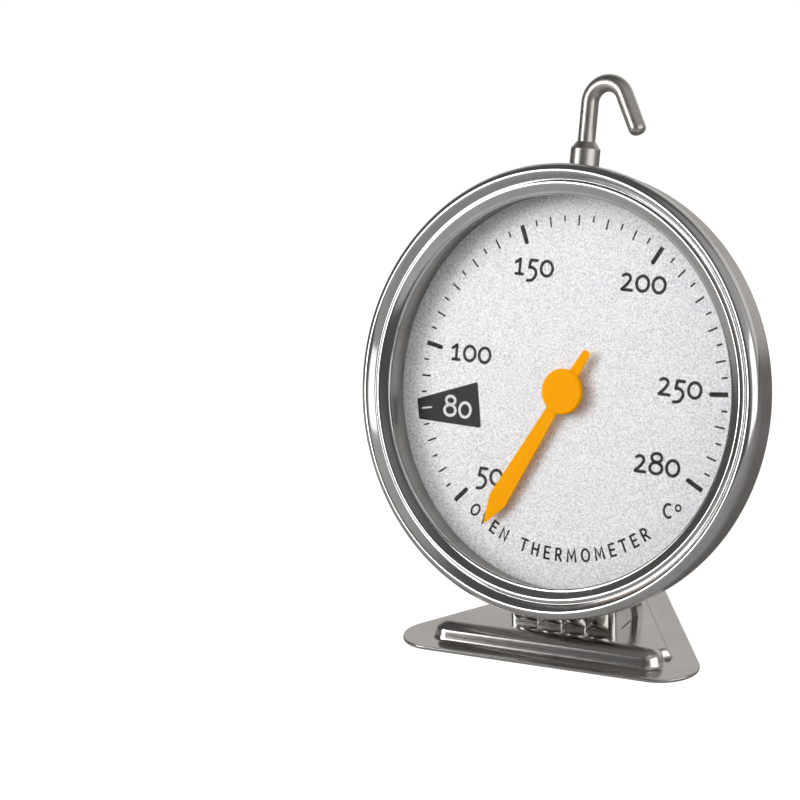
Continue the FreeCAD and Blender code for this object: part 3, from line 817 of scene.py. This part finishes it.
# Heights above the rim across the bead, by distance behind the front edge. Its ends are its front half turned round.
BEAD_SECTION = eased([(2.8, 0), (3.3, 0.08), (3.62, 0.55), (3.8, 1.2), (3.98, 1.7), (4.3, 2.1), (5.0, 2.62),
                      (5.7, 2.92), (6.4, 3.0), (7.1, 2.93), (7.9, 2.62), (8.7, 2.12), (9.3, 1.75), (9.9, 1.6),
                      (10.5, 1.6)])
BEAD_CREST, BEAD_REACH = 6.4, 18.0


def curve_height(curve, place):
    return float(np.interp(place, [p[0] for p in curve], [p[1] for p in curve]))


def soft_max(a, b, width=0.35):
    h = max(width - abs(a - b), 0.0) / width
    return max(a, b) + h * h * width / 4


def foot_height(x, y, margin):
    """Height of the foot's upper face above its rim's upper face."""
    across, behind = abs(x - FOOT_X), y - FOOT_FRONT
    reach = 19.6 + 3.5 * ease(behind, 7.5, 13.0)
    raised = min(ease(margin, FLANGE - 0.3, FLANGE + 1.1), ease(reach - across, 0.0, 1.4))
    panel = (PANEL_TOP - SHEET) * raised
    if behind > 10.5 or behind < 2.8:
        return panel
    bead = curve_height(BEAD_SECTION, BEAD_CREST - math.hypot(max(across - BEAD_REACH, 0.0), behind - BEAD_CREST))
    ground = min(panel, curve_height(BEAD_SECTION, behind))
    return soft_max(bead, ground) if min(bead, ground) > 0.4 else max(bead, ground)


def base_plate():
    """Stamped foot: a flat rim, a raised panel, a convex bead across the front and two slots."""
    rings = [[(x, y, 0.44) for x, y in triangle_ring(0.0)], [(x, y, 0.56) for x, y in triangle_ring(0.05)]]
    margins = [0.16, 0.5, 1.2, 2.2, 3.0, 3.4, *np.arange(3.5, 9.8, 0.13), *np.arange(10.2, 17.0, 0.9)]
    upper = [[(x, y, SHEET + foot_height(x, y, margin)) for x, y in triangle_ring(margin)] for margin in margins]
    lower = [[(x, y, max(z - SHEET, 0.0)) for x, y, z in ring] for ring in upper]
    under = [[(x, y, 0.04) for x, y in triangle_ring(0.05)], [(x, y, 0.16) for x, y in triangle_ring(0.0)]]
    verts, faces, count = [], [], len(upper[0])

    def bridge(first, second):
        faces.extend((first + i, first + (i + 1) % count, second + (i + 1) % count, second + i) for i in range(count))

    def stack(rings, centre_height):
        """Joins rings and adds a centre point. Returns where the first ring, the last ring and the centre are."""
        start = len(verts)
        verts.extend(v for ring in rings for v in ring)
        for r in range(len(rings) - 1):
            bridge(start + r * count, start + (r + 1) * count)
        verts.append((FOOT_X, FOOT_Y, centre_height))
        return start, start + (len(rings) - 1) * count, len(verts) - 1

    _, last, centre = stack(rings + upper, PANEL_TOP)
    faces += [(last + i, last + (i + 1) % count, centre) for i in range(count)]
    start, last, centre = stack(lower[::-1] + under, PANEL_TOP - SHEET)
    faces += [(start + (i + 1) % count, start + i, centre) for i in range(count)]
    bridge(last, 0)
    piece = mesh_object("foot_plate_stamped", verts, faces)
    cut_slots(piece)
    keep_edges(piece, 70)
    return finish_piece(piece, FOOT_STEEL, "foot_steel", "base_plate")


SLOT_Y = FOOT_FRONT + BRACKET_FRONT + BRACKET_DEPTH / 2


def cut_slots(piece):
    """Cuts the two narrow slots that the bracket's tabs pass through."""
    for side in (-1, 1):
        x = FOOT_X + side * (BRACKET_HALF - SHEET / 2)
        wide, long = 0.42, TAB_R + 0.12
        corners = filleted([(x - wide, SLOT_Y - long, 0.2), (x + wide, SLOT_Y - long, 0.2),
                            (x + wide, SLOT_Y + long, 0.2), (x - wide, SLOT_Y + long, 0.2)])
        cutter = prism("slot_cutter", corners, 0.4, 4.0, upright=True)
        apply_modifier(piece, "BOOLEAN", operation="DIFFERENCE", object=cutter, solver="EXACT")
        bpy.data.objects.remove(cutter)


base_plate()


# ---- bracket ----
OUTER_BACK = back_outline(0)
BACK_RADII = [r for r, _ in OUTER_BACK]
BACK_DEPTHS = [y for _, y in OUTER_BACK]


def inside_case(point):
    """Whether a millimetre point of the row frame is within the case's outer shape."""
    local = CASE.inverted() @ (point * MM) / MM
    radius = math.hypot(local.x, local.z)
    if radius >= CASE_R:
        return False
    return local.y < np.interp(radius, BACK_RADII, BACK_DEPTHS) and local.y > 0


def climb(foot, direction, limit):
    """The point where a line that climbs from the foot meets the case."""
    low, high = 0.0, None
    for k in range(1, 61):
        t = limit * k / 60
        if inside_case(foot + direction * t):
            high = t
            break
        low = t
    if high is None:
        return foot + direction * limit
    for _ in range(18):
        middle = 0.5 * (low + high)
        if inside_case(foot + direction * middle):
            high = middle
        else:
            low = middle
    return foot + direction * low


def trimmed_sheet(name, path, lean_at, limit, material, slot, *nodes, rows=28, extra=(), press=None):
    """Bent sheet standing on the panel: each point of its plan climbs at its own lean until it meets the case."""
    count = len(path)
    outer, inner = [], []
    for i, (x, y) in enumerate(path):
        before, after = Vector(path[max(i - 1, 0)]), Vector(path[min(i + 1, count - 1)])
        along = (after - before).normalized()
        inward = Vector((-along.y, along.x))
        outer.append(Vector((x, y)))
        inner.append(Vector((x, y)) + inward * SHEET)
    columns = []
    for plan, thickness in ((outer, 0.0), (inner, SHEET)):
        for i, p in enumerate(plan):
            foot = Vector((p.x, p.y, PANEL_TOP))
            lean = math.tan(math.radians(lean_at(outer[i].y)))
            direction = Vector((0, lean, 1))
            top = climb(foot, direction, limit)
            column = [foot + (top - foot) * (k / rows) ** 1.7 for k in range(rows + 1)]
            columns.append([press(point, thickness) for point in column] if press else column)
    verts = [v for column in columns for v in column]
    step = rows + 1
    faces = []
    for sheet in (0, count):
        for i in range(count - 1):
            a, b = (sheet + i) * step, (sheet + i + 1) * step
            faces += [(a + k, b + k, b + k + 1, a + k + 1) for k in range(rows)]
    for i in range(count - 1):
        a, b, c, d = i * step, (i + 1) * step, (count + i + 1) * step, (count + i) * step
        faces.append((a, b, c, d))
        faces.append((a + rows, b + rows, c + rows, d + rows))
    for i in (0, count - 1):
        a, b = i * step, (count + i) * step
        faces += [(a + k, a + k + 1, b + k + 1, b + k) for k in range(rows)]
    for more_verts, more_faces in extra:
        base = len(verts)
        verts += more_verts
        faces += [tuple(base + v for v in face) for face in more_faces]
    piece = mesh_object(name, verts, faces)
    keep_edges(piece, 35)
    return finish_piece(piece, material, slot, *nodes)


def folded_tab(side):
    """Tab through its slot, bent outwards under the panel and rounded like a D."""
    inner_x = BRACKET_HALF - SHEET
    under = PANEL_TOP - SHEET
    section = [(inner_x, PANEL_TOP + 0.05), (inner_x, under - 0.1)]
    section += arc_through((inner_x, under - 0.1), (inner_x + 0.2, under - 0.1 - SHEET + 0.14),
                           (inner_x + 0.6, under - SHEET - 0.02), 6)[1:]
    across = TAB_R + 0.15
    outer = BRACKET_HALF + across
    steps = 10
    run = [inner_x + 0.6 + (outer - inner_x - 0.6) * k / steps for k in range(1, steps + 1)]
    section += [(x, under - SHEET - 0.02) for x in run]
    verts, faces, half_rows = [], [], 8
    upper = [(BRACKET_HALF, PANEL_TOP + 0.05), (BRACKET_HALF, under - 0.02)]
    upper += [(BRACKET_HALF + 0.001 + 0.03 * k, under - 0.02) for k in range(1, 7)]
    upper += [(x, under - 0.02) for x in run]
    for row in (section, upper):
        for x, z in row:
            out = min(max((x - BRACKET_HALF) / across, 0.0), 1.0)
            half = (TAB_R - 0.02) * math.sqrt(max(1 - out * out, 0.02))
            for k in range(half_rows + 1):
                verts.append(Vector((FOOT_X + side * x, SLOT_Y - half + 2 * half * k / half_rows, z)))
    rows, wide = len(section), half_rows + 1
    for level in (0, rows * wide):
        for i in range(rows - 1):
            for k in range(half_rows):
                a = level + i * wide + k
                faces.append((a, a + 1, a + wide + 1, a + wide))
    other = rows * wide
    for i in range(rows - 1):
        for k in (0, half_rows):
            a = i * wide + k
            faces.append((a, a + wide, other + a + wide, other + a))
    for i in (0, rows - 1):
        for k in range(half_rows):
            a = i * wide + k
            faces.append((a, a + 1, other + a + 1, other + a))
    return verts, faces


def quarter_bend(x, y, radius, right, rear):
    """Plan of a quarter bend about (x, y), on its right or left and its rear or front side."""
    first, second = (math.cos, math.sin) if right > 0 else (math.sin, math.cos)
    return [(x + right * radius * first(t), y + rear * radius * second(t)) for t in np.linspace(0, math.pi / 2, 8)]


def stand_bracket():
    front = FOOT_FRONT + BRACKET_FRONT + FLUTE_RISE
    back = FOOT_FRONT + BRACKET_FRONT + BRACKET_DEPTH
    bend = 1.0
    left, right = FOOT_X - BRACKET_HALF, FOOT_X + BRACKET_HALF
    path = [(right, y) for y in np.linspace(back, front + bend, 22)]
    path += quarter_bend(right - bend, front + bend, bend, 1, -1)[1:-1]
    pitch = (2 * (BRACKET_HALF - bend)) / FLUTES
    valley = 0.16
    for k in range(FLUTES):
        x1 = right - bend - pitch * k
        crest = arc_through((x1 - valley, front), (x1 - pitch / 2, front - FLUTE_RISE),
                            (x1 - pitch + valley, front), 12)
        path += [(x1, front + 0.12)] + crest if k else [(x1, front)] + crest
    path += [(left + bend, front)]
    path += quarter_bend(left + bend, front + bend, bend, -1, -1)[1:-1]
    path += [(left, y) for y in np.linspace(front + bend, back, 22)]

    def lean_at(y):
        share = min(max((y - front) / (back - front), 0.0), 1.0)
        return BRACKET_LEAN + (-BRACKET_SLANT - BRACKET_LEAN) * share

    def press(point, thickness):
        """Flattens the flutes near the foot, where each ends in a round."""
        plain = front + thickness + (point.z - PANEL_TOP) * math.tan(math.radians(BRACKET_LEAN))
        if point.y >= plain or abs(point.x - FOOT_X) > BRACKET_HALF - bend:
            return point
        share = min(max((point.z - FLUTE_FOOT) / FLUTE_ROUND, 0.0), 1.0)
        kept = math.sqrt(1 - (1 - share) ** 2)
        return Vector((point.x, plain - (plain - point.y) * kept, point.z))

    return trimmed_sheet("bracket_channel", path[::-1], lean_at, 30.0, BRACKET_STEEL, "bracket_steel",
                         "stand_bracket", rows=64, extra=[folded_tab(-1), folded_tab(1)], press=press)


def bracket_gusset():
    back = FOOT_FRONT + BRACKET_FRONT + BRACKET_DEPTH + SHEET
    half = BRACKET_HALF + SHEET
    bend = 0.75
    path = [(FOOT_X + half, y) for y in np.linspace(back - SHEET - GUSSET_LAP, back - bend, 8)]
    path += quarter_bend(FOOT_X + half - bend, back - bend, bend, 1, 1)[1:]
    path += [(FOOT_X + x, back) for x in np.linspace(half - bend, -half + bend, 30)[1:]]
    path += quarter_bend(FOOT_X - half + bend, back - bend, bend, -1, 1)[1:]
    path += [(FOOT_X - half, y) for y in np.linspace(back - bend, back - SHEET - GUSSET_LAP, 8)[1:]]
    return trimmed_sheet("bracket_rear_plate", path, lambda y: -BRACKET_SLANT, 31.0, BRACKET_STEEL,
                         "bracket_steel", "bracket_gusset")


stand_bracket()
bracket_gusset()


# ---- CAD nodes that are shown as they are ----
NODE_MATERIALS = {
    "lens_glass": GLASS, "lens_gasket": RUBBER, "backing_ring": INNER_STEEL, "dial_plate": DIAL_PAINT,
    "front_bush": BRASS, "rear_bush": BRASS, "coil_bridge": INNER_STEEL, "bimetal_coil": BIMETAL,
    "coil_anchor": INNER_STEEL, "anchor_rivet": BRASS, "pointer_bush": BRASS, "pointer_shaft": INNER_STEEL,
    "coil_collet": BRASS, "hook_stop": HOOK_STEEL,
}
for node, material in NODE_MATERIALS.items():
    for place in frame["nodes"][node].material_slots:
        place.material = material


# ---- floor, light and camera ----
def floor():
    """White table: bright where the camera looks at it, and greyer in the steel's reflections."""
    side = 900.0
    steps = 12
    verts = [(-side + 2 * side * i / steps, -side + 2 * side * j / steps, -0.05)
             for j in range(steps + 1) for i in range(steps + 1)]
    row = steps + 1
    faces = [(j * row + i, j * row + i + 1, (j + 1) * row + i + 1, (j + 1) * row + i)
             for j in range(steps) for i in range(steps)]
    mesh = bpy.data.meshes.new("floor")
    mesh.from_pydata([Vector(v) * MM for v in verts], [], faces)
    ground = bpy.data.objects.new("floor", mesh)
    bpy.context.scene.collection.objects.link(ground)
    mat = Material("floor_white", Roughness=0.9)
    shade = mat.noise(mat.position(), 0.02, 2.0)
    mat.link(mat.ramp(shade, (0.3, (0.36, 0.36, 0.36)), (0.7, (0.39, 0.39, 0.39))), "Base Color")
    seen = mat.add("LightPath").outputs["Is Camera Ray"]
    mat.shader.inputs["Emission Color"].default_value = (1, 1, 1, 1)
    mat.link(mat.maths("MULTIPLY", seen, 0.9), "Emission Strength")
    ground.data.materials.append(mat.material)


def heading(azimuth, elevation):
    """Direction by azimuth from the front, positive to the right, and elevation, in degrees."""
    a, e = math.radians(azimuth), math.radians(elevation)
    return Vector((math.sin(a) * math.cos(e), -math.cos(a) * math.cos(e), math.sin(e)))


LIGHT_AIM = Vector((0, 0, 45))


def soft_light(name, azimuth, elevation, distance, size, radiance, colour=(1, 1, 1)):
    """Rectangular soft light, in millimetres, of an even brightness."""
    light = bpy.data.lights.new(name, "AREA")
    light.shape = "RECTANGLE"
    light.size, light.size_y = size[0] * MM, size[1] * MM
    light.energy = radiance * math.pi * light.size * light.size_y
    light.color = colour
    lamp = bpy.data.objects.new(name, light)
    bpy.context.scene.collection.objects.link(lamp)
    towards = heading(azimuth, elevation)
    lamp.location = (LIGHT_AIM + towards * distance) * MM
    lamp.rotation_euler = towards.to_track_quat("Z", "Y").to_euler()
    return lamp


# Patches of the room that the steel reflects: azimuth, elevation, inner and outer half-angle, added brightness.
ROOM = ((-170, 10, 25, 60, 0.46), (120, 0, 15, 60, 0.25), (60, 42, 15, 55, 0.3))
ROOM_BASE = 0.085


def studio():
    """White to the camera; to everything else a dim room with a pale back and two pale sides."""
    world = bpy.data.worlds.new("studio")
    bpy.context.scene.world = world
    world.use_nodes = True
    tree = world.node_tree
    tree.nodes.clear()
    add = partial(add_node, tree)
    place = add("TexCoord").outputs["Generated"]
    total = None
    for azimuth, elevation, inner, outer, level in ROOM:
        near = add("VectorMath", {0: place, 1: heading(azimuth, elevation)}, operation="DOT_PRODUCT")
        patch = add("MapRange", {0: near.outputs["Value"], 1: math.cos(math.radians(outer)),
                                 2: math.cos(math.radians(inner)), 3: 0.0, 4: level}, interpolation_type="SMOOTHSTEP")
        total = add("Math", {0: total or ROOM_BASE, 1: patch.outputs[0]}, operation="ADD").outputs[0]
    room = add("Background", {0: (1.0, 0.985, 0.965, 1), 1: total})
    shown = add("Background", {0: (1, 1, 1, 1), 1: 1.0})
    path = add("LightPath")
    mix = add("MixShader", {0: path.outputs["Is Camera Ray"], 1: room.outputs[0], 2: shown.outputs[0]})
    add("OutputWorld", {0: mix.outputs[0]})


CAMERA_AZIMUTH, CAMERA_ELEVATION, CAMERA_ROLL = 27.85, 15.49, -2.72
CAMERA_DISTANCE, CAMERA_LENS = 380.0, 103.69
CAMERA_AIM = CENTRE / MM + Vector((-22.53, -8.68, -0.98))


def camera():
    towards, roll = heading(CAMERA_AZIMUTH, CAMERA_ELEVATION), math.radians(CAMERA_ROLL)
    right = (-towards).cross(Vector((0, 0, 1))).normalized()
    up = right.cross(-towards)
    rolled_right = right * math.cos(roll) + up * math.sin(roll)
    rolled_up = up * math.cos(roll) - right * math.sin(roll)
    data = bpy.data.cameras.new("camera")
    data.lens = CAMERA_LENS
    data.clip_start, data.clip_end = 0.01, 10
    eye = bpy.data.objects.new("camera", data)
    bpy.context.scene.collection.objects.link(eye)
    turn = Matrix((rolled_right, rolled_up, towards)).transposed().to_4x4()
    eye.matrix_world = Matrix.Translation((CAMERA_AIM + towards * CAMERA_DISTANCE) * MM) @ turn
    bpy.context.scene.camera = eye


floor()
studio()
soft_light("key", -43, 17, 520, (250, 290), 3.4, (1.0, 0.995, 0.985))
soft_light("right", 70, 5, 520, (520, 420), 1.25, (1.0, 0.985, 0.96))
fill = soft_light("fill", -25, 35, 520, (600, 500), 2.1)
fill.visible_glossy = False
camera()

bpy.context.scene.view_settings.view_transform = "Standard"
bpy.context.scene.view_settings.look = "None"
